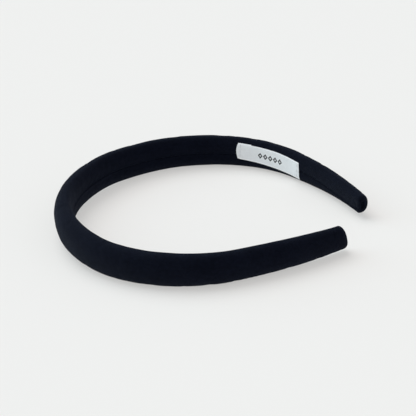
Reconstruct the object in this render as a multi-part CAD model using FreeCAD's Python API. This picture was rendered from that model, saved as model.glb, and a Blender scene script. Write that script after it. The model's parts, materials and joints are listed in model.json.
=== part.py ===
import FreeCAD, Part
import math
import os

os.makedirs("parts", exist_ok=True)

# A padded, cloth-covered headband lying on its side edge.
# The origin is the centre of the crown's inner cylinder, half way across the band's width.
# +Z runs across the band's width, the crown is at -X and both arms run towards +X.
# The left arm, which carries the label, is at +Y and the right arm is at -Y.
# Lengths are in millimetres and angles in degrees.

# Inner line of the band: three tangent arcs from the middle of the crown to the tip of an arm.
CROWN_RADIUS = 62.0
CROWN_ANGLE = 59.0
SIDE_RADIUS = 71.0
SIDE_ANGLE = 62.0
ARM_RADIUS = 195.0
ARM_LENGTH = 59.0

# The band's section, which tapers from the crown to the tips.
CROWN_WIDTH = 19.4
TIP_WIDTH = 11.6
WIDTH_POWER = 2.35
CROWN_THICKNESS = 9.8
TIP_THICKNESS = 6.3
THICKNESS_POWER = 1.9
WIDEST_AT = 0.36          # share of the thickness, from the inner face, where the band is widest
EDGE_POWER = 2.2          # superellipse power across the width
OUTER_POWER = 2.4         # and through the thickness, on the outer side
INNER_POWER = 2.35        # and on the inner side
INNER_CROWN = 0.35        # height of the inner bulge that the flat seat trims off
TIP_LENGTH = 2.6          # length of a tip's rounding along the arm
TIP_SHARE = 0.42          # share of the section that the rounding takes off at the very end
TIP_ANGLES = (0, 30, 55, 75, 90)

# What the band is made of, from the inner face outwards.
COVER_THICKNESS = 0.7
WADDING_THICKNESS = 0.9
CORE_THICKNESS = 1.5
CORE_INSET = 3.0          # from the band's edge to the core's edge

# The cover's closing seam, a ladder stitch along the middle of the inner face.
SEAM_HEIGHT = -0.9
SEAM_HALF_WIDTH = 0.5
SEAM_DEPTH = 0.5
THREAD_DIAMETER = 0.28
STITCH_DEPTH = 0.25
STITCH_PITCH = 5.0
STITCH_INSET = 6.0        # from the tip to the nearest stitch

# The woven label on the left arm's inner face, tacked down at both ends.
LABEL_LENGTH = 42.8
LABEL_WIDTH = 10.3
LABEL_THICKNESS = 0.35
LABEL_MIDDLE = 125.1      # arc length from the crown
LABEL_HEIGHT = 0.55
LABEL_TILT = 3.2
TACK_LENGTH = 2.2
TACK_INSET = 1.5
TACK_SPREAD = 3.1

# The flex lines, where an arm turns against the crown about an axis in the middle of the core.
FLEX_HEADING = 56.0
OPENING_LIMIT = 22.0
CLOSING_LIMIT = 6.0
FLEX_MARGIN = 2.0
FLEX_HALF_GAP = 0.25

STATIONS = 14
SECTION_POINTS = 28
REACH = 40.0              # more than any width or thickness of the band

CORE_START = COVER_THICKNESS + WADDING_THICKNESS
CORE_END = CORE_START + CORE_THICKNESS
FLEX_RADIUS = CROWN_RADIUS + (CORE_START + CORE_END) / 2


def vector(x, y, z=0.0):
    return FreeCAD.Vector(x, y, z)


def normal(heading):
    """Outward direction where the left half has turned through this angle from the crown."""
    angle = math.radians(heading)
    return vector(-math.cos(angle), math.sin(angle))


def inner_arcs():
    """Centre, radius, first heading and last heading of each arc of the left half."""
    radii = [CROWN_RADIUS, SIDE_RADIUS, ARM_RADIUS]
    turns = [CROWN_ANGLE, SIDE_ANGLE, math.degrees(ARM_LENGTH / ARM_RADIUS)]
    centre = vector(0.0, 0.0)
    heading = 0.0
    arcs = []
    for radius, turn in zip(radii, turns):
        if arcs:
            centre = centre + normal(heading) * (arcs[-1][1] - radius)
        arcs.append((centre, radius, heading, heading + turn))
        heading += turn
    return arcs


ARCS = inner_arcs()
SPANS = [math.radians(last - first) * radius for _, radius, first, last in ARCS]
HALF_LENGTH = sum(SPANS)


def place(length, offset=0.0, height=0.0):
    """Point at an arc length from the crown, an offset outwards and a height along Z."""
    index = 0
    while index < len(ARCS) - 1 and length > SPANS[index]:
        length -= SPANS[index]
        index += 1
    centre, radius, first, _ = ARCS[index]
    outward = normal(first + math.degrees(length / radius))
    return centre + outward * (radius + offset) + vector(0, 0, height)


def outward_at(length):
    return place(length, 1.0) - place(length)


def strip(inner, outer):
    """Left-half solid between two offsets of the inner line, tall enough to cross the band."""
    edges = []
    for offset in (inner, outer):
        for centre, radius, first, last in ARCS:
            headings = (first, (first + last) / 2, last)
            edges.append(Part.Arc(*[centre + normal(h) * (radius + offset) for h in headings]).toShape())
    for length in (0.0, HALF_LENGTH):
        edges.append(Part.makeLine(place(length, inner), place(length, outer)))
    wire = Part.Wire(Part.__sortEdges__(edges))
    solid = Part.Face(wire).extrude(vector(0, 0, REACH))
    solid.translate(vector(0, 0, -REACH / 2))
    return solid


def taper(crown, tip, power, length):
    return tip + (crown - tip) * (1.0 - (length / HALF_LENGTH) ** power)


def padded_section(length, inset, kept):
    """Closed curve round the band, drawn in by the inset and scaled to the share kept."""
    width = taper(CROWN_WIDTH, TIP_WIDTH, WIDTH_POWER, length)
    thickness = taper(CROWN_THICKNESS, TIP_THICKNESS, THICKNESS_POWER, length)
    widest = WIDEST_AT * thickness
    across = (width / 2 - inset) * kept
    outwards = (thickness - widest - inset) * kept
    inwards = (widest + INNER_CROWN - inset) * kept
    points = []
    for i in range(SECTION_POINTS):
        angle = 2 * math.pi * i / SECTION_POINTS
        cosine = math.cos(angle)
        sine = math.sin(angle)
        height = math.copysign(across * abs(cosine) ** (2 / EDGE_POWER), cosine)
        if sine > 0:
            offset = widest + outwards * sine ** (2 / OUTER_POWER)
        else:
            offset = widest - inwards * (-sine) ** (2 / INNER_POWER)
        points.append(place(length, offset, height))
    curve = Part.BSplineCurve()
    curve.interpolate(points, PeriodicFlag=True)
    return Part.Wire(curve.toShape())


def flat_section(length, inset, kept):
    """Rectangle across the band whose width, less the inset at each edge, follows the taper."""
    across = (taper(CROWN_WIDTH, TIP_WIDTH, WIDTH_POWER, length) / 2 - inset) * kept
    corners = [(-1.0, -across), (-1.0, across), (CROWN_THICKNESS, across), (CROWN_THICKNESS, -across)]
    points = [place(length, offset, height) for offset, height in corners]
    return Part.makePolygon(points + points[:1])


def lofted_half(section, inset):
    """Left half from the middle of the crown to its rounded tip, lofted through one section."""
    shoulder = HALF_LENGTH - TIP_LENGTH
    arm = [section(shoulder * i / STATIONS, inset, 1.0) for i in range(STATIONS + 1)]
    tip = []
    for angle in TIP_ANGLES:
        kept = 1.0 - TIP_SHARE * (1.0 - math.cos(math.radians(angle)))
        along = (TIP_LENGTH - inset) * math.sin(math.radians(angle))
        tip.append(section(shoulder + along, inset, kept))
    return Part.makeLoft(arm, True).fuse(Part.makeLoft(tip, True))


def flex_wedge(side):
    """Everything on one side of the left flex line: 1 is towards the tip, -1 towards the crown."""
    outer = math.tan(math.radians((OPENING_LIMIT + FLEX_MARGIN) / 2))
    inner = math.tan(math.radians((CLOSING_LIMIT + FLEX_MARGIN) / 2))
    # The wedge's face is a shallow V about the flex axis, so that the arm clears the crown as it turns.
    outward = normal(FLEX_HEADING) * HALF_LENGTH
    along = vector(outward.y, -outward.x) * side
    axis = normal(FLEX_HEADING) * FLEX_RADIUS - vector(0, 0, REACH / 2)
    gap = along * (FLEX_HALF_GAP / HALF_LENGTH)
    corners = [
        axis + gap + outward + along * outer,
        axis + gap,
        axis + gap - outward + along * inner,
        axis - outward + along,
        axis + outward + along,
    ]
    outline = Part.makePolygon(corners + corners[:1])
    return Part.Face(outline).extrude(vector(0, 0, REACH))


def mirrored(shape):
    return shape.mirror(vector(0, 0), vector(0, 1))


def split_at_flex_lines(half):
    """The crown, the left arm and the right arm of a piece whose left half is given."""
    crown_half = half.common(flex_wedge(-1))
    left_arm = half.common(flex_wedge(1))
    return {"crown": crown_half.fuse(mirrored(crown_half)), "left": left_arm, "right": mirrored(left_arm)}


def cut_seam_groove(solid):
    """Shallow V along the whole inner face, where the cover's two folded edges meet."""
    for centre, radius, first, last in ARCS:
        rim = centre + normal(first) * (radius - SEAM_DEPTH)
        bottom = centre + normal(first) * (radius + SEAM_DEPTH)
        corners = [
            rim + vector(0, 0, SEAM_HEIGHT + 2 * SEAM_HALF_WIDTH),
            bottom + vector(0, 0, SEAM_HEIGHT),
            rim + vector(0, 0, SEAM_HEIGHT - 2 * SEAM_HALF_WIDTH),
        ]
        face = Part.Face(Part.makePolygon(corners + corners[:1]))
        solid = solid.cut(face.revolve(centre, vector(0, 0, 1), first - last))
    return solid


def make_core():
    """Flat springy strip with rounded ends."""
    return lofted_half(flat_section, CORE_INSET).common(strip(CORE_START, CORE_END))


def stitches_between(cover, first, last):
    """Short bars of thread across the seam, trimmed to the cloth that they join."""
    stitches = []
    length = first
    while length <= last:
        start = place(length, STITCH_DEPTH, SEAM_HEIGHT - SEAM_HALF_WIDTH)
        bar = Part.makeCylinder(THREAD_DIAMETER / 2, 2 * SEAM_HALF_WIDTH, start, vector(0, 0, 1))
        stitches.append(bar.cut(cover))
        length += STITCH_PITCH
    return stitches


def make_seam_thread(cover):
    """The ladder stitch of the crown and of each arm, with no stitch on a flex line."""
    flex_length = math.radians(FLEX_HEADING) * CROWN_RADIUS
    crown = stitches_between(cover, STITCH_PITCH / 2, flex_length - STITCH_PITCH / 2)
    crown += [mirrored(stitch) for stitch in crown]
    arm = stitches_between(cover, flex_length + STITCH_PITCH / 2, HALF_LENGTH - STITCH_INSET)
    left = Part.makeCompound(arm)
    return {"crown": Part.makeCompound(crown), "left": left, "right": mirrored(left)}


def label_spot(along, across):
    """Arc length and height of a point on the tilted label, from its own middle."""
    tilt = math.radians(LABEL_TILT)
    length = LABEL_MIDDLE + along * math.cos(tilt) + across * math.sin(tilt)
    return length, LABEL_HEIGHT - along * math.sin(tilt) + across * math.cos(tilt)


def make_label():
    """Thin strip that lies on the inner face, with its far end lower than its near end."""
    outline = Part.makeBox(LABEL_LENGTH, REACH, LABEL_WIDTH)
    outline.translate(vector(-LABEL_LENGTH / 2, -REACH / 2, -LABEL_WIDTH / 2))
    outline.rotate(vector(0, 0), vector(0, 1), LABEL_TILT)
    outward = outward_at(LABEL_MIDDLE)
    outline.rotate(vector(0, 0), vector(0, 0, 1), math.degrees(math.atan2(-outward.x, outward.y)))
    outline.translate(place(LABEL_MIDDLE, 0.0, LABEL_HEIGHT))
    return strip(-LABEL_THICKNESS, 0.0).common(outline)


def make_label_tacks(label):
    """Rows of stitches across both ends of the label, half sunk in it."""
    stitches = []
    for end in (-1, 1):
        for row in (-1, 0, 1):
            along = end * (LABEL_LENGTH / 2 - TACK_INSET)
            low_length, low = label_spot(along, row * TACK_SPREAD - TACK_LENGTH / 2)
            high_length, high = label_spot(along, row * TACK_SPREAD + TACK_LENGTH / 2)
            start = place(low_length, -LABEL_THICKNESS, low)
            run = place(high_length, -LABEL_THICKNESS, high) - start
            stitches.append(Part.makeCylinder(THREAD_DIAMETER / 2, run.Length, start, run).cut(label))
    return Part.makeCompound(stitches)


def export(shape, name):
    shape.exportStep("parts/" + name + ".step")


def export_band():
    """Each layer of the band, from the outside in, as its crown and its two arms."""
    outside = lofted_half(padded_section, 0.0).cut(strip(-REACH / 4, 0.0))
    inside = lofted_half(padded_section, COVER_THICKNESS).cut(strip(-REACH / 4, COVER_THICKNESS))
    inner_layers = strip(-REACH / 4, CORE_END)
    cover = cut_seam_groove(outside.cut(inside))
    core = make_core()
    layers = {
        "fabric_cover": split_at_flex_lines(cover),
        "seam_thread": make_seam_thread(cover),
        "foam_pad": split_at_flex_lines(inside.cut(inner_layers)),
        "core_strip": split_at_flex_lines(core),
        "inner_wadding": split_at_flex_lines(inside.common(inner_layers).cut(core)),
    }
    for layer, pieces in layers.items():
        for stretch, piece in pieces.items():
            export(piece, layer + "_" + stretch)


def export_label():
    label = make_label()
    export(label, "label")
    export(make_label_tacks(label), "label_stitches")


export_band()
export_label()
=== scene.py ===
import json
import math

import bmesh
import bpy
import numpy as np
from mathutils import Matrix, Vector, noise

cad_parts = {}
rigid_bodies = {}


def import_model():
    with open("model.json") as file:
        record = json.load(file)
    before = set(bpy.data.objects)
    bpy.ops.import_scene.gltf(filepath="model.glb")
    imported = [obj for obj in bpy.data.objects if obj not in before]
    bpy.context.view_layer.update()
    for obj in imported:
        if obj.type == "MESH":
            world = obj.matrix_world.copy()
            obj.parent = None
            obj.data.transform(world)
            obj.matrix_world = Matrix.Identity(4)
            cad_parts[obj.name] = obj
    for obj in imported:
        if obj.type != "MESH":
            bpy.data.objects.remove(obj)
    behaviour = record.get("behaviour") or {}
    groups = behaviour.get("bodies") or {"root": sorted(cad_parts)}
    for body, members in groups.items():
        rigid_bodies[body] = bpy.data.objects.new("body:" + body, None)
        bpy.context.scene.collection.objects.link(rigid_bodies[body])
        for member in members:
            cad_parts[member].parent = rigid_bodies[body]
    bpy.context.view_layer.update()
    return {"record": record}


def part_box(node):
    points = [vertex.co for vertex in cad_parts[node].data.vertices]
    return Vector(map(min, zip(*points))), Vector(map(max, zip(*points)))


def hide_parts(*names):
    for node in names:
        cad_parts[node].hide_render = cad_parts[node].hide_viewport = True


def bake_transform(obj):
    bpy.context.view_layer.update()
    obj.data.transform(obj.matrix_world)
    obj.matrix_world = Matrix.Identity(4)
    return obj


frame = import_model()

# A padded headband covered in navy-black crepe, with a satin ribbon label inside its left arm.
# Lengths are in metres. A place on the band is an arc length from the middle of the crown along
# the inner face (positive on the left arm), an offset outwards from that face and a height along Z.

MM = 0.001
MOUNTS = {mount["name"]: mount for mount in frame["record"]["mounts"]}

# The inner line of the band, three tangent arcs from the crown to a tip.
CROWN_RADIUS = MOUNTS["head_seat"]["dims"]["r_mm"] * MM
CROWN_TURN = math.radians(59)
SIDE_RADIUS = 71 * MM
SIDE_TURN = math.radians(62)
ARM_RADIUS = 195 * MM
ARM_LENGTH = 59 * MM

# The band is stuffed and closed by hand, so it strays a little from the even shape. In a pair the left
# arm comes first, and distances are arc lengths from the middle of the crown.
TIP_EXTRA = (2.0 * MM, -0.7 * MM)           # how far each tip runs past the nominal length
TIP_EXTRA_STARTS = 150 * MM
TIP_SLANT = (0.14, -0.18)                   # slant of each end, as length per height
TIP_SLANT_REACH = 14 * MM
WIDER_ABOVE = (-0.4 * MM, 1.0 * MM)         # how much wider each tip is above its middle
WIDER_BELOW = (-0.45 * MM, 0.1 * MM)
WIDER_STARTS = (150 * MM, 130 * MM)
WIDER_ENDS = (180 * MM, 168 * MM)
CROWN_RISE = 0.77 * MM                      # how much higher the crown lies
RISE_FADES_FROM = (22 * MM, 55 * MM)
RISE_FADES_TO = (48 * MM, 78 * MM)
FULLER = (0.0, 1.0 * MM)                    # fuller stuffing along the upper inner edge
FULLER_GROWS = (10 * MM, 42 * MM)           # where that starts and where it is at its fullest
FULLER_FADES = (46 * MM, 95 * MM)

# The band's section, a superellipse that tapers from the crown to the tips.
crown_low, crown_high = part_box("fabric_cover_crown")
CROWN_WIDTH = 2 * crown_high.z
CROWN_THICKNESS = -crown_low.x - CROWN_RADIUS
TIP_WIDTH = 11.6 * MM
TIP_THICKNESS = 6.3 * MM
WIDTH_POWER = 2.35
THICKNESS_POWER = 1.9
WIDEST_AT = 0.36
EDGE_POWER = 2.2
OUTER_POWER = 2.4
INNER_POWER = 2.35
INNER_CROWN = 0.35 * MM
INNER_FACE_DEPTH = 1 * MM                   # what is less deep than this is on the inner face

# The rounded ends: their length, the share of the section lost on the way, and the rings that close the
# cover there, each with its distance back from the end and the shares of depth and height it keeps.
TIP_LENGTH = 2.6 * MM
TIP_SHARE = 0.42
CLOSING_RINGS = (
    (0.02 * MM, 0.75, 0.965),
    (0.02 * MM, 0.50, 0.930),
    (0.02 * MM, 0.28, 0.8992),
    (0.02 * MM, 0.12, 0.8768),
    (0.35 * MM, 0.04, 0.860),
    (0.90 * MM, 0.03, 0.840),
)

# How the cloth strays from its section: a dimple at each stitch, soft waves and ripples over the padding,
# and a crease where each end is closed, across the lower part of the inner face.
DIMPLE = 0.10 * MM
DIMPLE_REACH = 2.2 * MM
WAVE = 0.16 * MM
WAVE_LENGTH = 17 * MM
WAVE_GIRTH = 9 * MM
WAVE_SLICE = 3.7                            # where the waves are cut from the noise
RIPPLE = 0.08 * MM
RIPPLE_LENGTH = 5.5 * MM
RIPPLE_GIRTH = 6 * MM
RIPPLE_SLICE = 8.1
FREE_REACH = 3 * MM                         # how near the seam the waves and ripples die out
END_CREASE = 0.45 * MM
END_CREASE_AT = 2.7 * MM
END_CREASE_WIDTH = 0.7 * MM
END_CREASE_FADES = (-1.5 * MM, 2.5 * MM)    # the heights between which it dies out

# The layers, as offsets from the inner face, gaps between neighbours and insets from the band's edges.
CLOTH_THICKNESS = 0.4 * MM
LAYER_GAP = 0.1 * MM
CORE_START = 1.65 * MM
CORE_END = 3.05 * MM
CORE_INSET = 3.0 * MM
FOAM_START = 3.15 * MM
FOAM_INSET = CLOTH_THICKNESS + 0.25 * MM
WADDING_CORNER = 0.3 * MM

# The closing seam: two folded edges that meet along the inner face, drawn together by a ladder stitch.
SEAM_HEIGHT = -0.9 * MM
SEAM_TIP_HEIGHT = -3.4 * MM
SEAM_FALLS = (150 * MM, 187 * MM)           # where the seam goes down to its height at the tips
FOLD_RADIUS = CLOTH_THICKNESS + 0.13 * MM
FOLD_GAP = 0.03 * MM
HEM_LENGTH = 3.2 * MM
HEM_CLEARANCE = 1.2 * MM                    # kept between the lower hem and the band's lower edge
SEAM_DIP = 0.32 * MM
SEAM_DIP_REACH = 1.8 * MM
SEAM_DIP_GROWS = (15 * MM, 55 * MM)
STITCH_PITCH = 5 * MM
STITCH_ARCH = 0.24 * MM                     # how far a crossing stitch stands out between the folds
SEAM_THREAD_INSET = 6 * MM
THREAD_RADIUS = 0.12 * MM

# The cloth simulation: its sheet, how firmly each part is held, and how far it may move the cloth.
SIM_SCALE = 10
SIM_FRAMES = 14
SHEET_STEP = 2
PADDING_PRESSURE = 3.0
PADDING_HOLD = 0.12
SEAM_HOLD = 0.5
CLOTH_EASE = 0.012                          # spare cloth, as a share of its length
PUFF_CAP = 0.10 * MM

# The rings and points of the swept meshes.
STATION_PITCH = 1.25 * MM
FINE_STRETCH = 6 * MM                       # the stretch before each rounded end, with finer rings
LAYER_PITCH = 2.5 * MM
LAYER_TIP_SHARE = 0.75                      # the share of an inner layer's section lost at its rounded end
LAYER_GIRTH = 50 * MM                       # what the inner layers' cloth coordinate runs to
AROUND_POINTS = 104
HEM_POINTS = 6
FOLD_POINTS = 9
SHEET_STARTS = HEM_POINTS + FOLD_POINTS

# The ribbon label on the left arm's inner face, tilted so that its far end is lower.
LABEL_LENGTH = 42.8 * MM
LABEL_WIDTH = 10.3 * MM
LABEL_MIDDLE = 125.6 * MM
LABEL_HEIGHT = 0.7 * MM
LABEL_TILT = math.radians(4.3)
RIBBON_THICKNESS = 0.1 * MM
RIBBON_FOLD = 0.13 * MM
RIBBON_HALF = LABEL_LENGTH / 2 - RIBBON_FOLD
RIBBON_TURN_IN = {-1: 8 * MM, 1: 3 * MM}    # at the end nearer the crown and at the far end
RIBBON_CLEARANCE = 0.045 * MM               # between the ribbon's lower layer and the cover
RIBBON_SINK = 0.10 * MM                     # how much lower it lies where no turned-in end is under it
RIBBON_SWAY = 0.06 * MM
RIBBON_SWAY_PITCH = (8 * MM, 11 * MM)       # along the ribbon and across it
RIBBON_SWAY_SLICE = 1.3
SELVEDGE_RISE = 0.04 * MM
SELVEDGE_WIDTH = 0.7 * MM
TURN_IN_RISE = 0.32 * MM                    # how far the long turned-in end shows above the ribbon's edge
LABEL_END = (0.3 * LABEL_LENGTH, 0.5 * LABEL_LENGTH)    # where each end's own shape starts and is complete
LABEL_BULGE = 0.9 * MM                      # how far the end nearer the crown bows out
LABEL_NARROWING = 0.95 * MM                 # how much narrower it is there, along its upper edge
LABEL_NARROWS_FROM = 0.1 * LABEL_LENGTH     # from the label's middle, towards the far end
LABEL_SKEW = 0.07                           # slant of the far end, as length per height
TACK_INSET = 1.5 * MM
TACK_SPREAD = 3.1 * MM
TACK_LENGTH = 2.0 * MM
TACK_ARCH = 0.16 * MM


def smooth(value, low, high):
    """0 below low, 1 above high and a smooth step between them."""
    share = np.clip((value - low) / (high - low), 0.0, 1.0)
    return share * share * (3 - 2 * share)


def band_arcs():
    """Centre, radius, heading and arc length at the start of each arc of the left half."""
    arcs = []
    centre = np.zeros(2)
    heading = 0.0
    length = 0.0
    for radius, turn in (
        (CROWN_RADIUS, CROWN_TURN),
        (SIDE_RADIUS, SIDE_TURN),
        (ARM_RADIUS, ARM_LENGTH / ARM_RADIUS),
    ):
        if arcs:
            outward = np.array((-math.cos(heading), math.sin(heading)))
            centre = centre + outward * (arcs[-1][1] - radius)
        arcs.append((centre, radius, heading, length))
        heading += turn
        length += radius * turn
    return arcs, length


ARCS, HALF_LENGTH = band_arcs()


def taper(crown, tip, power, length):
    """A measure of the section that falls from the crown to the tips."""
    return tip + (crown - tip) * (1 - np.minimum(np.abs(length) / HALF_LENGTH, 1) ** power)


def band_width(length):
    return taper(CROWN_WIDTH, TIP_WIDTH, WIDTH_POWER, length)


def band_thickness(length):
    return taper(CROWN_THICKNESS, TIP_THICKNESS, THICKNESS_POWER, length)


def strayed(length, offset, height):
    """Where these places on an even band really come to lie."""
    left = length > 0
    distance = np.abs(length)

    def own(pair):
        return np.where(left, *pair)

    half_width = band_width(length) / 2
    wider = np.where(height > 0, own(WIDER_ABOVE), own(WIDER_BELOW))
    wider = wider * smooth(distance, own(WIDER_STARTS), own(WIDER_ENDS))
    longer = own(TIP_EXTRA) * smooth(distance, TIP_EXTRA_STARTS, HALF_LENGTH)
    slant = own(TIP_SLANT) * height * smooth(distance, HALF_LENGTH - TIP_SLANT_REACH, HALF_LENGTH)
    stretch = smooth(distance, *FULLER_GROWS) * (1 - smooth(distance, *FULLER_FADES))
    edge = smooth(height / half_width, 0.0, 0.9) * (1 - smooth(offset / band_thickness(length), 0.1, 0.9))
    fuller = own(FULLER) * stretch * edge
    rise = CROWN_RISE * (1 - smooth(distance, own(RISE_FADES_FROM), own(RISE_FADES_TO)))
    length = length + own((1, -1)) * (longer + slant)
    return length, offset - fuller, height * (1 + wider / half_width) + rise


def on_band(length, offset, height):
    """Points at these places on the band."""
    length, offset, height = strayed(*np.broadcast_arrays(*np.atleast_1d(length, offset, height)))
    distance = np.abs(length)
    x = np.zeros(distance.shape)
    y = np.zeros(distance.shape)
    for centre, radius, heading, start in ARCS:
        angle = heading + (distance - start) / radius
        beyond = distance >= start
        x = np.where(beyond, centre[0] - np.cos(angle) * (radius + offset), x)
        y = np.where(beyond, centre[1] + np.sin(angle) * (radius + offset), y)
    return np.stack((x, np.where(length < 0, -y, y), height), axis=-1)


def outline(length, inset=0.0, count=1600):
    """Offsets and heights round the band's section, from the middle of the inner face upwards."""
    width = band_width(length)
    thickness = band_thickness(length)
    widest = WIDEST_AT * thickness
    angle = np.linspace(-0.5, 1.5, count + 1) * math.pi
    cosine, sine = np.cos(angle), np.sin(angle)
    height = np.sign(cosine) * (width / 2 - inset) * np.abs(cosine) ** (2 / EDGE_POWER)
    outer = widest + (thickness - widest - inset) * np.abs(sine) ** (2 / OUTER_POWER)
    inner = widest - (widest + INNER_CROWN - inset) * np.abs(sine) ** (2 / INNER_POWER)
    offset = np.where(sine > 0, outer, np.maximum(inner, inset))
    return np.stack((offset, height), axis=-1)


def inner_face(length, height):
    """Offset of the cover's inner face at this length and height."""
    widest = WIDEST_AT * band_thickness(length)
    cosine = np.clip(np.abs(height) / (band_width(length) / 2), 0, 1) ** (EDGE_POWER / 2)
    sine = np.sqrt(1 - cosine**2)
    return np.maximum(widest - (widest + INNER_CROWN) * sine ** (2 / INNER_POWER), 0)


def running_length(path):
    """The length of a path from its start to each of its points."""
    return np.concatenate(([0.0], np.cumsum(np.linalg.norm(np.diff(path, axis=0), axis=1))))


def evenly(path, count):
    """Points at equal steps along a path."""
    run = running_length(path)
    wanted = np.linspace(0, run[-1], count)
    return np.stack([np.interp(wanted, run, path[:, axis]) for axis in range(path.shape[1])], axis=-1)


def seam_height(length):
    """Height of the closing seam, which is lower at the tips."""
    lowered = smooth(np.abs(length), *SEAM_FALLS)
    return SEAM_HEIGHT + (SEAM_TIP_HEIGHT - SEAM_HEIGHT) * lowered


def folded_edge(seam, side, half_width):
    """The cloth's face from its raw edge, under the cover, to where its fold meets the inner face."""
    start = seam + side * (FOLD_GAP + FOLD_RADIUS)
    hem = min(HEM_LENGTH, half_width - side * start - HEM_CLEARANCE)
    turn = np.linspace(0.5, -0.5, FOLD_POINTS) * math.pi
    fold_offset = FOLD_RADIUS * (1 + np.sin(turn))
    fold_height = start - side * FOLD_RADIUS * np.cos(turn)
    hem_height = start + side * hem * np.linspace(1, 0, HEM_POINTS, endpoint=False)
    offset = np.concatenate((np.full(HEM_POINTS, 2 * FOLD_RADIUS), fold_offset))
    return np.stack((offset, np.concatenate((hem_height, fold_height))), axis=-1)


def cloth_section(length):
    """The cloth's face all the way round: hem, fold, round the band, fold and hem."""
    seam = seam_height(length)
    whole = outline(length)
    quarter = len(whole) // 4
    clear = FOLD_GAP + FOLD_RADIUS
    # The outline starts in the middle of the inner face, which the seam is just below or far below.
    if seam + clear > 0:
        first = np.argmax(whole[:quarter, 1] >= seam + clear)
        upper = whole[first:-quarter]
    else:
        below = whole[-quarter:-1][::-1]
        extra = below[below[:, 1] > seam + clear]
        upper = np.concatenate((extra[::-1], whole[:-quarter]))
    lower = whole[-quarter:-1]
    lower = lower[lower[:, 1] <= seam - clear]
    around = evenly(np.concatenate((upper, lower)), AROUND_POINTS)
    half_width = float(band_width(length)) / 2
    edges = [folded_edge(seam, side, half_width) for side in (1, -1)]
    path = np.concatenate((edges[0], around[1:-1], edges[1][::-1]))
    inner_side = path[:, 0] < WIDEST_AT * CROWN_THICKNESS
    near_seam = np.exp(-(((path[:, 1] - seam) / SEAM_DIP_REACH) ** 2)) * inner_side
    path[:, 0] += SEAM_DIP * smooth(abs(length), *SEAM_DIP_GROWS) * near_seam
    return path


def face_normals(path):
    """Unit normals of a section's path, out of the cloth's face."""
    along = np.gradient(path, axis=0)
    along /= np.linalg.norm(along, axis=1, keepdims=True)
    return np.stack((-along[:, 1], along[:, 0]), axis=-1)


def stations():
    """The rings of one half: the length of each, and its shares of the section's depth and height."""
    shoulder = HALF_LENGTH - TIP_LENGTH
    even = shoulder - FINE_STRETCH
    lengths = np.linspace(0, even, round(even / STATION_PITCH) + 1)
    rings = [(length, 1.0, 1.0) for length in (*lengths, *np.linspace(even, shoulder, 13)[1:])]
    for angle in np.radians(np.linspace(9, 90, 10)):
        kept = 1 - TIP_SHARE * (1 - math.cos(angle))
        rings.append((shoulder + TIP_LENGTH * math.sin(angle), kept, kept))
    end = 1 - TIP_SHARE
    for back, depth, width in CLOSING_RINGS:
        rings.append((HALF_LENGTH - back, end * depth, end * width))
    return rings


def drawn_in(path, length, depth, width):
    """Offsets and heights of a section drawn in, about its widest line, to these shares of its size."""
    widest = WIDEST_AT * band_thickness(length)
    return widest + (path[:, 0] - widest) * depth, path[:, 1] * width


def under_label(length):
    """1 where the label lies, fading to 0 beyond its ends."""
    return 1 - smooth(abs(length - LABEL_MIDDLE) - LABEL_LENGTH / 2, 0, 4 * MM)


def relief(length, girth, height, reach, inside):
    """How far the cloth stands out from its section, with its dimples, waves, ripples and creases."""
    dimple = DIMPLE * math.exp(-((reach / DIMPLE_REACH) ** 2))
    dimple *= 0.5 + 0.5 * math.cos(2 * math.pi * length / STITCH_PITCH)
    waves = WAVE * noise.noise(Vector((length / WAVE_LENGTH, girth / WAVE_GIRTH, WAVE_SLICE)))
    ripple_place = Vector((length / RIPPLE_LENGTH, girth / RIPPLE_GIRTH, RIPPLE_SLICE))
    ripples = RIPPLE * noise.noise(ripple_place)
    free = 1 - math.exp(-((reach / FREE_REACH) ** 2))
    crease = 0.0
    if inside:
        free *= 1 - under_label(length)
        across = (abs(length) - HALF_LENGTH + END_CREASE_AT) / END_CREASE_WIDTH
        crease = END_CREASE * math.exp(-(across**2)) * (1 - smooth(height, *END_CREASE_FADES))
    return (waves + ripples) * free - dimple - crease


def cloth_sheet(rings):
    """The even cover from fold to fold, as a grid of points at the simulation's scale, and its normals."""
    points = []
    for length, depth, width in rings:
        path = cloth_section(length)[SHEET_STARTS:-SHEET_STARTS:SHEET_STEP]
        points.append(on_band(length, *drawn_in(path, length, depth, width)))
    points = np.array(points) * SIM_SCALE
    normals = np.cross(np.gradient(points, axis=0), np.gradient(points, axis=1))
    normals /= np.linalg.norm(normals, axis=2, keepdims=True)
    outwards = np.sign((normals * (points - points.mean(axis=1, keepdims=True))).sum())
    return points, normals * outwards


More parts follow.
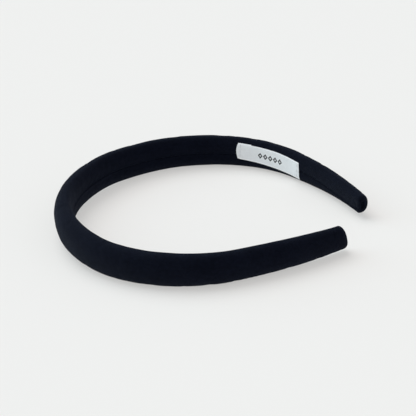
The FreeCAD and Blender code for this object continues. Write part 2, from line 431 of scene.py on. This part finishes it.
def puffed(rings):
    """How far the cloth puffs out over the padding between its stitches, from a cloth simulation."""
    points, normals = cloth_sheet(rings)
    rows, columns = points.shape[:2]
    index = np.arange(rows * columns).reshape(rows, columns)
    sheet = mesh_piece("cloth_sheet", points.reshape(-1, 3), grid_quads(index))
    held = np.full((rows, columns), PADDING_HOLD)
    rings_per_stitch = round(STITCH_PITCH / STATION_PITCH)
    stitched = [round(abs(length) / STATION_PITCH) % rings_per_stitch == 0 for length, _, _ in rings]
    held[:, 0] = held[:, -1] = np.where(stitched, 1.0, SEAM_HOLD)
    held[:len(CLOSING_RINGS)] = held[-len(CLOSING_RINGS):] = 1.0
    group = sheet.vertex_groups.new(name="held")
    for vertex, weight in enumerate(held.ravel()):
        group.add([vertex], float(weight), "REPLACE")
    cloth = sheet.modifiers.new("cloth", "CLOTH").settings
    cloth.quality = 6
    cloth.mass = 0.2
    cloth.tension_stiffness = cloth.compression_stiffness = 20
    cloth.shear_stiffness = 10
    cloth.bending_stiffness = 0.3
    cloth.air_damping = 4
    cloth.vertex_group_mass = "held"
    cloth.pin_stiffness = 4
    cloth.use_pressure = True
    cloth.uniform_pressure_force = PADDING_PRESSURE
    cloth.shrink_min = -CLOTH_EASE
    cloth.effector_weights.gravity = 0
    for frame_number in range(1, SIM_FRAMES + 1):
        bpy.context.scene.frame_set(frame_number)
    settled = sheet.evaluated_get(bpy.context.evaluated_depsgraph_get()).to_mesh()
    moved = np.empty(rows * columns * 3)
    settled.vertices.foreach_get("co", moved)
    bpy.context.scene.frame_set(1)
    bpy.data.objects.remove(sheet)
    puff = ((moved.reshape(rows, columns, 3) - points) * normals).sum(axis=2) / SIM_SCALE
    return PUFF_CAP * np.tanh((puff - np.median(puff)) / PUFF_CAP)


def cover_rings():
    """The cover's two faces and its cloth coordinates, ring by ring from the right tip to the left tip."""
    half = stations()
    rings = [(-length, depth, width) for length, depth, width in half[:0:-1]] + half
    puffs = puffed(rings)
    front, back, cloth = [], [], []
    for (length, depth, width), puff in zip(rings, puffs):
        path = cloth_section(length)
        normals = face_normals(path)
        girth = running_length(path)
        edge = HEM_LENGTH + math.pi * FOLD_RADIUS
        reach = np.minimum(girth, girth[-1] - girth) - edge
        inside = path[:, 0] < INNER_FACE_DEPTH
        lift = np.array([relief(length, *spot) for spot in zip(girth, path[:, 1], reach, inside)])
        lift = np.where(reach > 0, lift, 0.0)
        simulated = np.arange(SHEET_STARTS, len(path) - SHEET_STARTS, SHEET_STEP)
        puff = np.interp(np.arange(len(path)), simulated, puff, left=0, right=0)
        lift += puff * (1 - under_label(length) * inside)
        for faces, depth_in in ((front, 0.0), (back, CLOTH_THICKNESS)):
            skin = path + normals * (lift - depth_in)[:, None]
            faces.append(on_band(length, *drawn_in(skin, length, depth, width)))
        cloth.append(np.stack((np.full(len(girth), length), girth, np.zeros(len(girth))), axis=-1))
    return np.array(front), np.array(back), np.array(cloth)


def grid_quads(index):
    """The faces of a grid of vertices, from their numbers."""
    corners = (index[:-1, :-1], index[1:, :-1], index[1:, 1:], index[:-1, 1:])
    return np.stack([corner.ravel() for corner in corners], axis=-1)


def shell(name, front, back, place):
    """A closed shell from two grids of points, with a cloth coordinate for each point of a grid."""
    rows, columns = front.shape[:2]
    vertices = np.concatenate((front.reshape(-1, 3), back.reshape(-1, 3)))
    index = np.arange(rows * columns).reshape(rows, columns)
    behind = index + rows * columns
    quads = [grid_quads(index), grid_quads(behind[:, ::-1])]
    for one, other in (
        (index[:, 0], behind[:, 0]),
        (behind[:, -1], index[:, -1]),
        (behind[0], index[0]),
        (index[-1], behind[-1]),
    ):
        quads.append(np.stack((one[:-1], other[:-1], other[1:], one[1:]), axis=-1))
    places = np.tile(place.reshape(-1, 3), (2, 1))
    return mesh_piece(name, vertices, np.concatenate(quads), places, 2 * (rows - 1) * (columns - 1))


def mesh_piece(name, vertices, faces, place=None, flat_after=None):
    """An object with outward faces, smooth but for those after the first flat_after."""
    mesh = bpy.data.meshes.new(name)
    mesh.from_pydata([tuple(v) for v in vertices], [], [tuple(int(i) for i in f) for f in faces])
    if place is not None:
        attribute = mesh.attributes.new("place", "FLOAT_VECTOR", "POINT")
        attribute.data.foreach_set("vector", np.asarray(place, np.float32).ravel())
    smooth_faces = np.ones(len(faces), bool)
    if flat_after is not None:
        smooth_faces[flat_after:] = False
    mesh.polygons.foreach_set("use_smooth", smooth_faces)
    mesh.update()
    piece = bpy.data.objects.new(name, mesh)
    bpy.context.collection.objects.link(piece)
    work = bmesh.new()
    work.from_mesh(mesh)
    bmesh.ops.recalc_face_normals(work, faces=work.faces)
    for edge in work.edges:
        if edge.is_manifold and edge.link_faces[0].smooth != edge.link_faces[1].smooth:
            edge.smooth = False
    work.to_mesh(mesh)
    work.free()
    return piece


def solid_sweep(name, section, side, lengths, kept):
    """A closed solid through a section at each length, capped at both ends."""
    rings = []
    places = []
    for length, share in zip(lengths, kept):
        path = section(length)
        middle = path.mean(axis=0)
        path = middle + (path - middle) * share
        along = np.full(len(path), side * length)
        around = np.arange(len(path)) / len(path) * LAYER_GIRTH
        rings.append(on_band(along, path[:, 0], path[:, 1]))
        places.append(np.stack((along, around, np.zeros(len(path))), axis=-1))
    count = len(rings[0])
    last = count * (len(rings) - 1)
    faces = []
    for ring in range(0, last, count):
        for i in range(count):
            j = (i + 1) % count
            faces.append((ring + i, ring + j, ring + count + j, ring + count + i))
    ends = [tuple(range(count)), tuple(range(last, last + count))]
    return mesh_piece(name, np.concatenate(rings), faces + ends, np.concatenate(places), len(faces))


def tube(points, radius, sides=8):
    """Vertices and faces of a round tube along points, closed at both ends."""
    points = [Vector(p) for p in points]
    tangents = []
    for i in range(len(points)):
        ahead = points[min(i + 1, len(points) - 1)] - points[max(i - 1, 0)]
        tangents.append(ahead.normalized())
    across = tangents[0].orthogonal().normalized()
    vertices = []
    for i, point in enumerate(points):
        across = (across - tangents[i] * across.dot(tangents[i])).normalized()
        other = tangents[i].cross(across)
        for k in range(sides):
            angle = 2 * math.pi * k / sides
            vertices.append(point + (across * math.cos(angle) + other * math.sin(angle)) * radius)
    faces = []
    for i in range(len(points) - 1):
        for k in range(sides):
            n = (k + 1) % sides
            faces.append((i * sides + k, i * sides + n, (i + 1) * sides + n, (i + 1) * sides + k))
    faces.append(tuple(range(sides))[::-1])
    faces.append(tuple(range((len(points) - 1) * sides, len(points) * sides)))
    return vertices, faces


def joined_tubes(name, runs, radius):
    """One object of a tube along each run of points."""
    vertices, faces = [], []
    for points in runs:
        more, sides = tube(points, radius)
        faces += [tuple(i + len(vertices) for i in face) for face in sides]
        vertices += more
    return mesh_piece(name, vertices, faces)


# ---------------------------------------------------------------- the layers inside the cover


def foam_section(length):
    """Crowned on the outside and flat where it lies on the core."""
    path = outline(length, FOAM_INSET, 96)[:-1]
    path[:, 0] = np.maximum(path[:, 0], FOAM_START)
    return path


def core_section(length):
    """Flat strip with rounded edges."""
    half_width = band_width(length) / 2 - CORE_INSET
    half_depth = (CORE_END - CORE_START) / 2
    angle = np.linspace(0, 2 * math.pi, 48, endpoint=False)
    edge = np.sign(np.cos(angle)) * np.abs(np.cos(angle)) ** 0.5
    depth = np.sign(np.sin(angle)) * np.abs(np.sin(angle)) ** 0.5
    flat = np.sign(edge) * (half_width - half_depth) * np.minimum(np.abs(edge) * 4, 1)
    offset = (CORE_START + CORE_END) / 2 + depth * half_depth
    return np.stack((offset, edge * half_depth + flat), axis=-1)


def wadding_section(length):
    """A fleece trough that wraps the core's inner face and its edges, thinner over the cover's hems."""
    whole = outline(length, CLOTH_THICKNESS + LAYER_GAP, 96)
    inner = whole[whole[:, 0] < FOAM_START - LAYER_GAP]
    upper = inner[inner[:, 1] >= 0]
    upper = upper[np.argsort(upper[:, 1])]
    lower = inner[inner[:, 1] < 0]
    lower = lower[np.argsort(lower[:, 1])]
    outside = evenly(np.concatenate((lower, upper)), 49)
    seam = seam_height(length)
    hem = 1 - smooth(np.abs(outside[:, 1] - seam), HEM_LENGTH + FOLD_RADIUS, HEM_LENGTH + 3 * FOLD_RADIUS)
    pressed = np.maximum(outside[:, 0], 2 * FOLD_RADIUS + LAYER_GAP)
    outside[:, 0] = outside[:, 0] + (pressed - outside[:, 0]) * hem
    half_width = band_width(length) / 2 - CORE_INSET + LAYER_GAP
    top = FOAM_START - LAYER_GAP
    floor = CORE_START - LAYER_GAP / 2
    inside = np.array([
        (top, half_width),
        (floor + WADDING_CORNER, half_width),
        (floor, half_width - WADDING_CORNER),
        (floor, -half_width + WADDING_CORNER),
        (floor + WADDING_CORNER, -half_width),
        (top, -half_width),
    ])
    return np.concatenate((outside, evenly(inside, 47)))


def layer_rings(last):
    """Lengths from the crown to a layer's rounded end, and the share of the section kept at each."""
    shoulder = last - TIP_LENGTH
    lengths = list(np.linspace(0, shoulder, round(shoulder / LAYER_PITCH) + 1))
    kept = [1.0] * len(lengths)
    for angle in np.radians((20, 40, 58, 74, 85)):
        lengths.append(shoulder + TIP_LENGTH * math.sin(angle))
        kept.append(1 - LAYER_TIP_SHARE * (1 - math.cos(angle)))
    return lengths, kept


# ---------------------------------------------------------------- the label and the threads


def label_place(along, across):
    """Arc length and height of a point on the label, from its middle."""
    length = LABEL_MIDDLE + along * math.cos(LABEL_TILT) + across * math.sin(LABEL_TILT)
    return length, LABEL_HEIGHT - along * math.sin(LABEL_TILT) + across * math.cos(LABEL_TILT)


def ribbon_path():
    """The ribbon's face seen from its edge, with both ends turned under: places along it and lifts."""
    turn = np.linspace(-0.5, 0.5, 7) * math.pi
    ends = {}
    for end, turn_in in RIBBON_TURN_IN.items():
        runs = np.linspace(turn_in, 0, 12, endpoint=False)
        under = [(-RIBBON_HALF + run, -RIBBON_FOLD) for run in runs]
        fold = [(-RIBBON_HALF - RIBBON_FOLD * math.cos(a), RIBBON_FOLD * math.sin(a)) for a in turn]
        ends[end] = under + fold
    middle = [(along, RIBBON_FOLD) for along in np.linspace(-RIBBON_HALF, RIBBON_HALF, 61)[1:-1]]
    return np.array(ends[-1] + middle + [(-along, lift) for along, lift in ends[1][::-1]])


def ribbon_row(along, across, over):
    """Arc lengths and heights of a row across the ribbon, whose ends aren't square."""
    bulge = LABEL_BULGE * (1 - (2 * across / LABEL_WIDTH) ** 2) * smooth(-along, *LABEL_END)
    skew = -LABEL_SKEW * across * smooth(along, *LABEL_END)
    narrow = LABEL_NARROWING * max(LABEL_NARROWS_FROM - along, 0) / (LABEL_NARROWS_FROM + LABEL_LENGTH / 2)
    across = across - narrow * (0.5 + across / LABEL_WIDTH)
    if over:
        shown = TURN_IN_RISE * smooth(-along, RIBBON_HALF - TACK_INSET, RIBBON_HALF)
    else:
        shown = TURN_IN_RISE * (along < 0)
    return label_place(along - bulge + skew, across + shown)


def ribbon_sway(at, across):
    """Gentle waves of the ribbon's upper layer, from -1 to 1."""
    along_pitch, across_pitch = RIBBON_SWAY_PITCH
    spots = [Vector((at / along_pitch, a / across_pitch, RIBBON_SWAY_SLICE)) for a in across]
    return np.array([noise.noise(spot) for spot in spots])


def ribbon_doubled(along):
    """1 where a turned-in end lies under the ribbon, fading to 0 beyond it."""
    fade = 2 * MM
    return sum(
        smooth(end * along, RIBBON_HALF - turn_in - fade, RIBBON_HALF - turn_in)
        for end, turn_in in RIBBON_TURN_IN.items()
    )


def label_grids():
    """The two faces of the ribbon, whose ends are turned under, with its cloth coordinates."""
    path = ribbon_path()
    normals = face_normals(path)
    run = running_length(path)
    run -= run[np.argmin(np.where(path[:, 1] > 0, np.abs(path[:, 0]), 1))]
    across = np.linspace(-LABEL_WIDTH / 2, LABEL_WIDTH / 2, 25)
    past_weave = np.abs(across) - (LABEL_WIDTH / 2 - SELVEDGE_WIDTH)
    selvedge = SELVEDGE_RISE * smooth(past_weave, -0.2 * MM, 0.2 * MM)
    grids = []
    for depth_in in (0.0, RIBBON_THICKNESS):
        rows = []
        for (along, lift), at in zip(path - normals * depth_in, run):
            over = lift > 0
            length, height = ribbon_row(along, across, over)
            rise = RIBBON_CLEARANCE + RIBBON_FOLD + lift
            if over:
                sunk = RIBBON_SINK * (1 - ribbon_doubled(along))
                rise = rise - sunk + RIBBON_SWAY * ribbon_sway(at, across)
            if over and depth_in == 0:
                rise = rise + selvedge
            rows.append(on_band(length, inner_face(length, height) - rise, height))
        grids.append(np.array(rows))
    place = np.array([[(at, a, 0.0) for a in across] for at in run])
    return grids[0], grids[1], place


def tack_runs():
    """Short stitches across both ends of the label."""
    runs = []
    for end in (-1, 1):
        for row in (-1, 0, 1):
            points = []
            for share in np.linspace(-0.5, 0.5, 9):
                along = end * (LABEL_LENGTH / 2 - TACK_INSET)
                length, height = label_place(along, row * TACK_SPREAD + share * TACK_LENGTH)
                rise = 2 * RIBBON_FOLD + TACK_ARCH * math.cos(math.pi * share)
                points.append(on_band(length, inner_face(length, height) - rise, height)[0])
            runs.append(points)
    return runs


def ladder_run(side):
    """The seam thread of one half: inside one folded edge for a stitch, across, and inside the other."""
    points = []
    fold = FOLD_RADIUS + FOLD_GAP
    deepest = FOLD_RADIUS + SEAM_DIP
    for stitch, length in enumerate(np.arange(0, HALF_LENGTH - SEAM_THREAD_INSET, STITCH_PITCH)):
        edge = (1, -1)[stitch % 2]
        for share in (-1.0, -0.55, 0.0, 0.55, 1.0):
            depth = deepest - STITCH_ARCH * (1 - share * share)
            points.append(on_band(side * length, depth, seam_height(length) + edge * share * fold)[0])
        for share in (0.25, 0.5, 0.75):
            between = length + share * STITCH_PITCH
            points.append(on_band(side * between, deepest, seam_height(between) + edge * fold)[0])
    return points


# ---------------------------------------------------------------- materials


class Shader:
    """A node material with one Principled shader, built up by small steps."""

    def __init__(self, name, colour, roughness, **sockets):
        self.material = bpy.data.materials.new(name)
        self.material.use_nodes = True
        self.tree = self.material.node_tree
        self.shader = self.tree.nodes["Principled BSDF"]
        self.shader.inputs["Base Color"].default_value = (*colour, 1)
        self.shader.inputs["Roughness"].default_value = roughness
        for socket, value in sockets.items():
            self.shader.inputs[socket.replace("_", " ")].default_value = value

    def add(self, kind, **inputs):
        """A new node with these inputs, each a value or another node's output."""
        node = self.tree.nodes.new(kind)
        for socket, value in inputs.items():
            self.put(node.inputs[socket], value)
        return node

    def put(self, socket, value):
        if isinstance(value, bpy.types.NodeSocket):
            self.tree.links.new(value, socket)
        else:
            socket.default_value = value

    def math(self, operation, first, second=0.0, third=0.0):
        node = self.tree.nodes.new("ShaderNodeMath")
        node.operation = operation
        for socket, value in zip(node.inputs, (first, second, third)):
            self.put(socket, value)
        return node.outputs[0]

    def place(self):
        """The piece's own cloth coordinate, in metres: along it and across it."""
        node = self.tree.nodes.new("ShaderNodeAttribute")
        node.attribute_name = "place"
        parts = self.add("ShaderNodeSeparateXYZ", Vector=node.outputs["Vector"])
        return node.outputs["Vector"], parts.outputs["X"], parts.outputs["Y"]

    def noise(self, vector, scale, detail=2.0, roughness=0.5):
        settings = {"Scale": scale, "Detail": detail, "Roughness": roughness}
        return self.add("ShaderNodeTexNoise", Vector=vector, **settings).outputs["Fac"]

    def wave(self, value, pitch, phase=0.0):
        """A sine of a length with this pitch, from 0 to 1."""
        turned = self.math("MULTIPLY_ADD", value, 2 * math.pi / pitch, phase)
        return self.math("MULTIPLY_ADD", self.math("SINE", turned), 0.5, 0.5)

    def ramp(self, value, low, high, low_colour, high_colour):
        node = self.add("ShaderNodeValToRGB", Fac=value)
        node.color_ramp.elements[0].position = low
        node.color_ramp.elements[0].color = (*low_colour, 1)
        node.color_ramp.elements[1].position = high
        node.color_ramp.elements[1].color = (*high_colour, 1)
        return node.outputs["Color"]

    def colour(self, value):
        self.put(self.shader.inputs["Base Color"], value)

    def roughness(self, value):
        self.put(self.shader.inputs["Roughness"], value)

    def bump(self, height, distance, strength=1.0):
        linked = self.shader.inputs["Normal"].links
        node = self.add("ShaderNodeBump", Height=height, Distance=distance, Strength=strength)
        if linked:
            self.put(node.inputs["Normal"], linked[0].from_socket)
        self.put(self.shader.inputs["Normal"], node.outputs["Normal"])

    def on(self, *pieces):
        for piece in pieces:
            piece.data.materials.clear()
            piece.data.materials.append(self.material)


def crepe():
    """Matt navy-black crepe: a fine twisted weave, pebbled at random, with a soft bluish sheen."""
    look = Shader(
        "cover_crepe", (0.003, 0.004, 0.007), 0.9,
        Specular_IOR_Level=0.10, Specular_Tint=(0.62, 0.72, 1.0, 1.0),
        Sheen_Weight=0.035, Sheen_Roughness=0.4, Sheen_Tint=(0.50, 0.66, 1.0, 1.0),
    )
    place, along, across = look.place()
    pebble = look.noise(place, 1 / (1.4 * MM), 3.0, 0.65)
    drift = look.math("MULTIPLY", pebble, 0.6 * MM)
    warp = look.wave(look.math("ADD", across, drift), 0.46 * MM)
    weft = look.wave(look.math("ADD", along, drift), 0.42 * MM)
    weave = look.math("MAXIMUM", warp, weft)
    grain = look.math("MULTIPLY_ADD", pebble, 0.7, look.math("MULTIPLY", weave, 0.5))
    fleck = look.noise(place, 1 / (2.2 * MM), 2.0, 0.6)
    cloud = look.noise(place, 1 / (14 * MM), 2.0, 0.55)
    mixed = look.math("MULTIPLY_ADD", fleck, 0.35, look.math("MULTIPLY", cloud, 0.25))
    shade = look.math("MULTIPLY_ADD", grain, 0.45, mixed)
    look.colour(look.ramp(shade, 0.35, 0.8, (0.0001, 0.0004, 0.0018), (0.0044, 0.0058, 0.0130)))
    look.roughness(look.math("MULTIPLY_ADD", grain, 0.12, 0.82))
    look.bump(grain, 0.26 * MM, 1.0)
    return look


def thread(name, dark, light):
    """Twisted sewing thread, shaded from dark to light across its plies."""
    look = Shader(name, dark, 0.75, Specular_IOR_Level=0.3, Sheen_Weight=0.15, Sheen_Roughness=0.4)
    coordinates = look.tree.nodes.new("ShaderNodeTexCoord").outputs["Object"]
    plies = look.add("ShaderNodeTexWave", Vector=coordinates, Scale=900.0, Distortion=2.0)
    look.colour(look.ramp(plies.outputs["Fac"], 0.2, 0.8, dark, light))
    look.bump(plies.outputs["Fac"], 0.03 * MM)
    return look


def satin():
    """White satin ribbon with corded selvedges, whose colour is painted a brighter white as a highlight
    along both edges, and a row of small woven lozenges.
    """
    look = Shader("label_satin", (0.62, 0.65, 0.67), 0.42, Specular_IOR_Level=0.45, Sheen_Weight=0.1)
    place, along, across = look.place()
    floats = look.wave(across, 0.16 * MM)
    picks = look.wave(along, 0.30 * MM)
    slub = look.noise(place, 1 / (2.5 * MM), 3.0, 0.6)
    weave = look.math("ADD", look.math("MULTIPLY", floats, 0.6), look.math("MULTIPLY", picks, 0.4))
    shade = look.math("ADD", look.math("MULTIPLY", slub, 0.6), look.math("MULTIPLY", weave, 0.4))
    ground = look.ramp(shade, 0.25, 0.8, (0.82, 0.85, 0.87), (0.94, 0.965, 0.98))
    # Painted highlight: both selvedges get a brighter, bluish white than the ground, standing in for the
    # light that their raised corded edges catch.
    edge = look.math("GREATER_THAN", look.math("ABSOLUTE", across), LABEL_WIDTH / 2 - SELVEDGE_WIDTH)
    selvedge_highlight = look.add("ShaderNodeMixRGB", Fac=edge, Color1=ground, Color2=(0.97, 0.985, 1.0, 1))
    motif = lozenges(look, look.math("ADD", along, 0.4 * MM), across)
    ink = (0.006, 0.008, 0.011, 1)
    inked = look.add("ShaderNodeMixRGB", Fac=motif, Color1=selvedge_highlight.outputs["Color"], Color2=ink)
    look.colour(inked.outputs["Color"])
    look.roughness(look.math("MULTIPLY_ADD", slub, 0.2, 0.32))
    look.bump(look.math("ADD", weave, look.math("MULTIPLY", motif, 1.5)), 0.02 * MM, 0.6)
    return look


def lozenges(look, along, across):
    """1 on the outlines of a row of lozenges, and 0 elsewhere."""
    count = 5
    pitch = 3.4 * MM
    half_length = 1.55 * MM
    half_height = 1.9 * MM
    stroke = 0.62                           # as a share of the half lozenge
    slot = look.math("ROUND", look.math("DIVIDE", along, pitch))
    inside = look.math("LESS_THAN", look.math("ABSOLUTE", slot), count / 2)
    from_middle = look.math("SUBTRACT", along, look.math("MULTIPLY", slot, pitch))
    reach = look.math(
        "ADD",
        look.math("DIVIDE", look.math("ABSOLUTE", from_middle), half_length),
        look.math("DIVIDE", look.math("ABSOLUTE", across), half_height),
    )
    from_stroke = look.math("ABSOLUTE", look.math("SUBTRACT", reach, 1 - stroke / 2))
    return look.math("MULTIPLY", look.math("LESS_THAN", from_stroke, stroke / 2), inside)


def foam():
    """Cream open-cell foam."""
    look = Shader("foam_cells", (0.86, 0.84, 0.74), 0.95, Specular_IOR_Level=0.2)
    coordinates = look.tree.nodes.new("ShaderNodeTexCoord").outputs["Object"]
    cells = look.add("ShaderNodeTexVoronoi", Vector=coordinates, Scale=1 / (0.7 * MM))
    look.colour(look.ramp(cells.outputs["Distance"], 0.1, 0.7, (0.88, 0.86, 0.76), (0.55, 0.52, 0.42)))
    look.bump(cells.outputs["Distance"], 0.25 * MM, 0.8)
    return look


def fleece():
    """White matted fibres."""
    look = Shader("wadding_fleece", (0.88, 0.88, 0.86), 0.95, Specular_IOR_Level=0.2, Sheen_Weight=0.3)
    coordinates = look.tree.nodes.new("ShaderNodeTexCoord").outputs["Object"]
    fibres = look.noise(coordinates, 1 / (0.8 * MM), 6.0, 0.75)
    look.colour(look.ramp(fibres, 0.3, 0.7, (0.74, 0.74, 0.72), (0.93, 0.93, 0.91)))
    look.bump(fibres, 0.3 * MM, 0.9)
    return look


def plastic():
    """Black moulded plastic with a faint haze."""
    look = Shader("core_plastic", (0.02, 0.02, 0.022), 0.4, Specular_IOR_Level=0.5)
    place, _, _ = look.place()
    haze = look.noise(place, 1 / (3 * MM), 4.0, 0.6)
    look.colour(look.ramp(haze, 0.3, 0.7, (0.016, 0.016, 0.018), (0.030, 0.030, 0.033)))
    look.roughness(look.math("MULTIPLY_ADD", haze, 0.25, 0.28))
    look.bump(look.noise(place, 1 / (0.3 * MM), 2.0), 0.02 * MM, 0.5)
    return look


# ---------------------------------------------------------------- building


def half_name(layer, side):
    return layer + ("_left_half" if side > 0 else "_right_half")


def layer_nodes(layer, side):
    """The CAD nodes that one half of a layer stands for."""
    return layer + "_crown", layer + ("_left" if side > 0 else "_right")


def bend(piece, nodes):
    """Bakes the piece's transform into its mesh and hides the CAD nodes that it stands for."""
    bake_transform(piece)
    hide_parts(*nodes)


def build_cover(cloth_look):
    front, back, place = cover_rings()
    middle = len(front) // 2
    for side, rows in ((1, slice(middle, None)), (-1, slice(middle, None, -1))):
        piece = shell(half_name("cover", side), front[rows], back[rows], place[rows])
        cloth_look.on(piece)
        bend(piece, layer_nodes("fabric_cover", side))


def build_inside(looks):
    layers = (
        ("foam", foam_section, 0.9 * MM, "foam_pad", "foam", 1.0),
        ("wadding", wadding_section, 2.2 * MM, "inner_wadding", "wadding", 0.7),
        ("core", core_section, 3.2 * MM, "core_strip", "core_plastic", None),
    )
    for side in (1, -1):
        for name, section, end_inset, node, slot, fill in layers:
            lengths, kept = layer_rings(HALF_LENGTH - end_inset)
            piece = solid_sweep(half_name(name, side), section, side, lengths, kept)
            looks[name].on(piece)
            bend(piece, layer_nodes(node, side))


def build_threads(look, white_look):
    for side in (1, -1):
        piece = joined_tubes(half_name("seam_thread", side), [ladder_run(side)], THREAD_RADIUS)
        look.on(piece)
        bend(piece, layer_nodes("seam_thread", side))
    tacks = joined_tubes("label_tacks", tack_runs(), THREAD_RADIUS)
    white_look.on(tacks)
    bend(tacks, ["label_stitches"])


def build_label(look):
    front, back, place = label_grids()
    piece = shell("ribbon_label", front, back, place)
    look.on(piece)
    bend(piece, ["label"])


# ---------------------------------------------------------------- floor, light and camera


def make_floor():
    """Pale floor under the band, tilted by the degree that the band leans when it lies at rest."""
    look = Shader(
        "floor_paper", (0.386, 0.382, 0.375), 0.9, Specular_IOR_Level=0.0,
        Emission_Color=(0.445, 0.440, 0.431, 1), Emission_Strength=1.0,
    )
    coordinates = look.tree.nodes.new("ShaderNodeTexCoord").outputs["Object"]
    tooth = look.noise(coordinates, 1 / (1.5 * MM), 2.0)
    look.bump(tooth, 0.01 * MM, 0.2)
    lean = math.radians(1.0)
    up = np.array((-math.sin(lean), 0, math.cos(lean)))
    lowest = min(
        float((np.array([v.co for v in piece.data.vertices]) @ up).min())
        for piece in bpy.context.scene.objects if piece.name.startswith("cover_")
    )
    half = 4.0
    corners = []
    for x, y in ((-half, -half), (half, -half), (half, half), (-half, half)):
        corners.append((x, y, (lowest - x * up[0]) / up[2]))
    floor = mesh_piece("floor", corners, [(0, 1, 2, 3)])
    look.on(floor)


def make_sun(name, towards, strength, spread, colour):
    light = bpy.data.lights.new(name, "SUN")
    light.energy = strength
    light.angle = math.radians(spread)
    light.color = colour
    lamp = bpy.data.objects.new(name, light)
    bpy.context.collection.objects.link(lamp)
    lamp.rotation_euler = Vector(towards).to_track_quat("Z", "Y").to_euler()


def make_light():
    """Soft studio light: an even dome, a broad key from the far left, a bluish side light and a fill."""
    world = bpy.data.worlds.new("studio")
    bpy.context.scene.world = world
    world.use_nodes = True
    background = world.node_tree.nodes["Background"]
    background.inputs["Color"].default_value = (1.0, 1.0, 1.0, 1)
    background.inputs["Strength"].default_value = 0.43
    make_sun("key", (-0.45, 0.30, 1.0), 1.75, 50, (1.0, 1.0, 0.995))
    make_sun("side", (-1.0, 0.05, 0.5), 1.3, 50, (0.65, 0.90, 1.0))
    make_sun("fill", (0.8, -0.35, 0.35), 0.45, 60, (0.85, 0.88, 1.0))


def make_camera():
    azimuth, elevation, roll = math.radians(21.31), math.radians(27.85), math.radians(4.45)
    target = Vector((11.4, -3.2, 0)) * MM
    distance = 579 * MM
    back = Vector((
        math.sin(azimuth) * math.cos(elevation),
        -math.cos(azimuth) * math.cos(elevation),
        math.sin(elevation),
    ))
    right = Vector((math.cos(azimuth), math.sin(azimuth), 0))
    above = back.cross(right)
    data = bpy.data.cameras.new("camera")
    data.sensor_width = 36
    data.lens = 95.3
    camera = bpy.data.objects.new("camera", data)
    bpy.context.collection.objects.link(camera)
    axes = Matrix((
        right * math.cos(roll) - above * math.sin(roll),
        right * math.sin(roll) + above * math.cos(roll),
        back,
    )).transposed()
    camera.matrix_world = Matrix.Translation(target + back * distance) @ axes.to_4x4()
    bpy.context.scene.camera = camera


make_camera()
build_inside({"foam": foam(), "wadding": fleece(), "core": plastic()})
build_cover(crepe())
build_threads(thread("cover_thread", (0.006, 0.0075, 0.012), (0.012, 0.015, 0.022)),
              thread("label_thread", (0.62, 0.64, 0.65), (0.78, 0.79, 0.80)))
build_label(satin())
make_floor()
make_light()
bpy.context.scene.view_settings.view_transform = "Standard"
